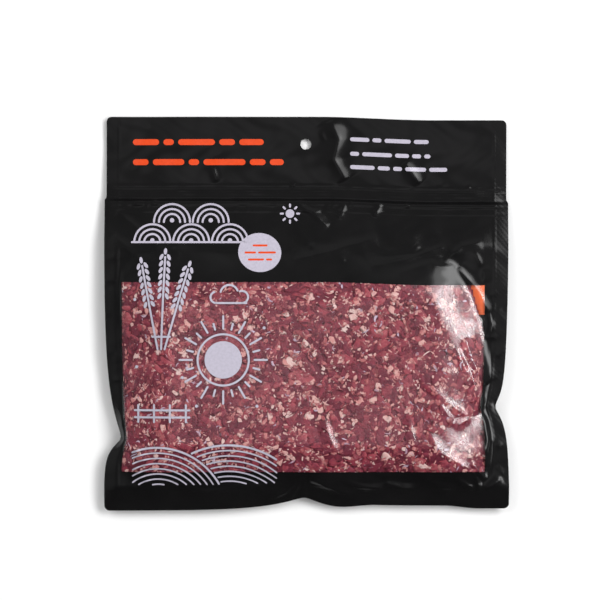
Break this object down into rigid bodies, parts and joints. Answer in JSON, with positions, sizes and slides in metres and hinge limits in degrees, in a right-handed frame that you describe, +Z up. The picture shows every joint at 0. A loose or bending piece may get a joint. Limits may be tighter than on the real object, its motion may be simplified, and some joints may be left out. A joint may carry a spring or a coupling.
{
  "type": "vacuum pouch of minced meat",
  "caption": "Flat black resealable vacuum pouch with hang hole, press-to-close zip, welded flaps and a clear window over a slab of minced meat.",
  "frame": {"origin": "middle of the pack's footprint, on the surface that it lies on", "axes": "+Z up from the surface to the window side, +Y towards the header with the hang hole, +X to the right of a reader"},
  "size_m": [0.2298, 0.224, 0.021],
  "materials": {
    "printed_film": "glossy black printed laminate film, heat welded along its edges",
    "mince": "moist red minced meat with pale flecks of fat",
    "clear_film": "clear unprinted window of the same laminate film",
    "print_white": "pale grey-white ink under the film's gloss",
    "print_orange": "orange ink under the film's gloss"
  },
  "bodies": {
    "root": {"pouch": "printed_film", "mince": "mince"}
  },
  "joints": []
}
